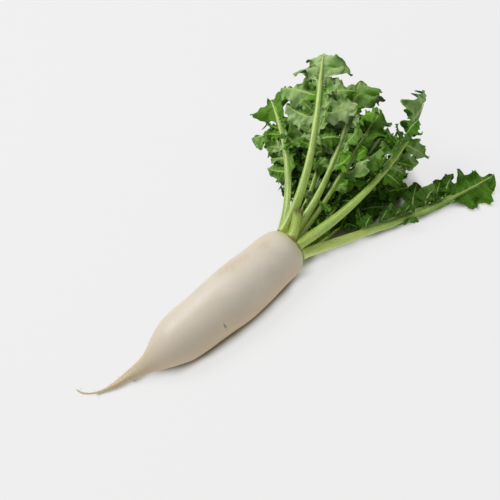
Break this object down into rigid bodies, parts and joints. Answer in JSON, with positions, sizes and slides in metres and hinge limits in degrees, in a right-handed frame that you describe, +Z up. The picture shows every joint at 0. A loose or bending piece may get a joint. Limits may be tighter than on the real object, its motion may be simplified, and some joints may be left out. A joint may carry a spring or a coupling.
{
  "type": "daikon radish",
  "caption": "Long white radish root lying on its side, with a thin curved tail and a fan of lobed green leaves on pale stalks at its crown.",
  "frame": {"origin": "on the table, in the middle of the small flat spot that the root lies on", "axes": "+X along the root from its tail towards the leaves, +Z up, away from the table, +Y to the left when looking along +X"},
  "size_m": [0.5304, 0.3157, 0.1508],
  "materials": {
    "root_skin": "smooth, slightly moist skin with fine pale marks",
    "stalk_skin": "smooth ribbed stalk, satin",
    "blade_skin": "soft veined leaf, satin"
  },
  "bodies": {
    "root": {"root": "root_skin", "leaf_1_stalk": "stalk_skin", "leaf_1_blade": "blade_skin", "leaf_2_stalk": "stalk_skin", "leaf_2_blade": "blade_skin", "leaf_3_stalk": "stalk_skin", "leaf_3_blade": "blade_skin", "leaf_4_stalk": "stalk_skin", "leaf_4_blade": "blade_skin", "leaf_5_stalk": "stalk_skin", "leaf_5_blade": "blade_skin", "leaf_6_stalk": "stalk_skin", "leaf_6_blade": "blade_skin", "leaf_7_stalk": "stalk_skin", "leaf_7_blade": "blade_skin", "leaf_8_stalk": "stalk_skin", "leaf_8_blade": "blade_skin", "leaf_9_stalk": "stalk_skin", "leaf_9_blade": "blade_skin", "leaf_10_stalk": "stalk_skin", "leaf_10_blade": "blade_skin", "leaf_11_stalk": "stalk_skin", "leaf_11_blade": "blade_skin", "leaf_12_stalk": "stalk_skin", "leaf_12_blade": "blade_skin", "leaf_13_stalk": "stalk_skin", "leaf_13_blade": "blade_skin"}
  },
  "joints": []
}
